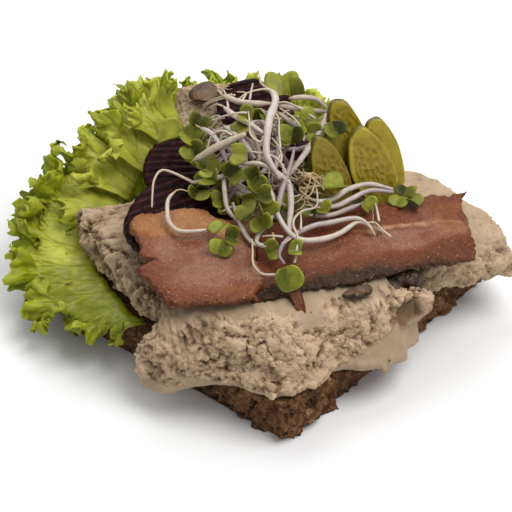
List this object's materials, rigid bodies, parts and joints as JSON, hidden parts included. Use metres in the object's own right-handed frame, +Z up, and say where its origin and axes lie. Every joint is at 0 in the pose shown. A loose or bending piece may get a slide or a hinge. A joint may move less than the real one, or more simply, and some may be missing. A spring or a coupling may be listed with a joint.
{
  "type": "open sandwich",
  "caption": "Open sandwich on dark rye: pate slabs, curly lettuce, fried bacon, beetroot, gherkin and mushroom slices under a heap of sprouts.",
  "frame": {"origin": "centre of the bread's flat underside", "axes": "+Z up; the bread's cut edges run along X and Y, and the corner with the broken pate points to +X -Y"},
  "size_m": [0.1241, 0.1171, 0.0574],
  "materials": {
    "rye_bread": "dry dark rye crumb, coarse and porous",
    "liver_pate": "matte beige pate, crumbly where broken",
    "fried_bacon": "fried, greasy, browned at the edges",
    "beetroot": "wet, very dark purple, crinkle cut",
    "gherkin": "wet, translucent yellow-green",
    "fried_mushroom": "fried, oily, grey-brown",
    "lettuce": "thin satin leaf",
    "sprouts": "pale satin stems with green seed leaves"
  },
  "bodies": {
    "root": {"bread": "rye_bread", "pate_left": "liver_pate", "pate_right": "liver_pate", "pate_front": "liver_pate", "pate_back": "liver_pate", "bacon_long": "fried_bacon", "bacon_short": "fried_bacon", "beetroot_left": "beetroot", "beetroot_middle": "beetroot", "beetroot_right": "beetroot", "beetroot_back": "beetroot", "gherkin_1": "gherkin", "gherkin_2": "gherkin", "gherkin_3": "gherkin", "gherkin_4": "gherkin", "gherkin_5": "gherkin", "mushroom_back": "fried_mushroom", "mushroom_front": "fried_mushroom", "mushroom_right": "fried_mushroom", "lettuce_left": "lettuce", "lettuce_back": "lettuce", "sprouts": "sprouts"}
  },
  "joints": []
}
